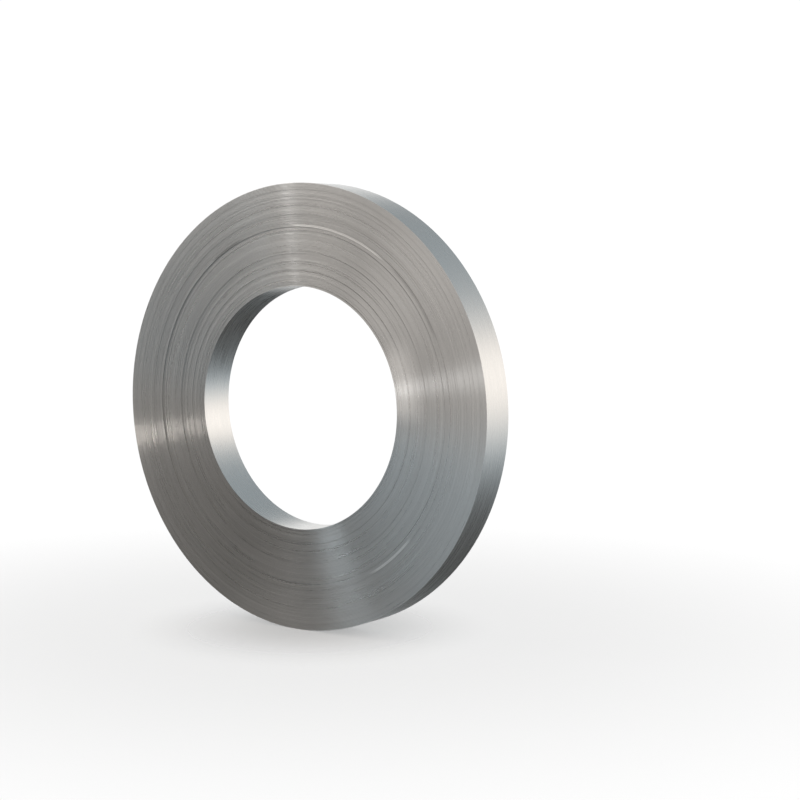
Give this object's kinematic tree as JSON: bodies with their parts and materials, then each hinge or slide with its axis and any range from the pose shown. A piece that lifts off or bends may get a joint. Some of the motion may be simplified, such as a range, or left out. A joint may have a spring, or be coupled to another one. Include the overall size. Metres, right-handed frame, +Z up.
{
  "type": "nickel alloy strip coil",
  "caption": "Narrow slit coil of nickel alloy strip, wound turn on turn round an open bore and standing on its rim.",
  "frame": {"origin": "centre of the coil's footprint, at the lowest line of its rim, on the floor that it stands on", "axes": "+Z up; +Y along the coil's axis, from its front end to its back end; +X to the right as seen from the front"},
  "size_m": [0.933, 0.0812, 0.933],
  "materials": {
    "nickel_alloy": null
  },
  "bodies": {
    "root": {"strip_coil": "nickel_alloy"}
  },
  "joints": []
}
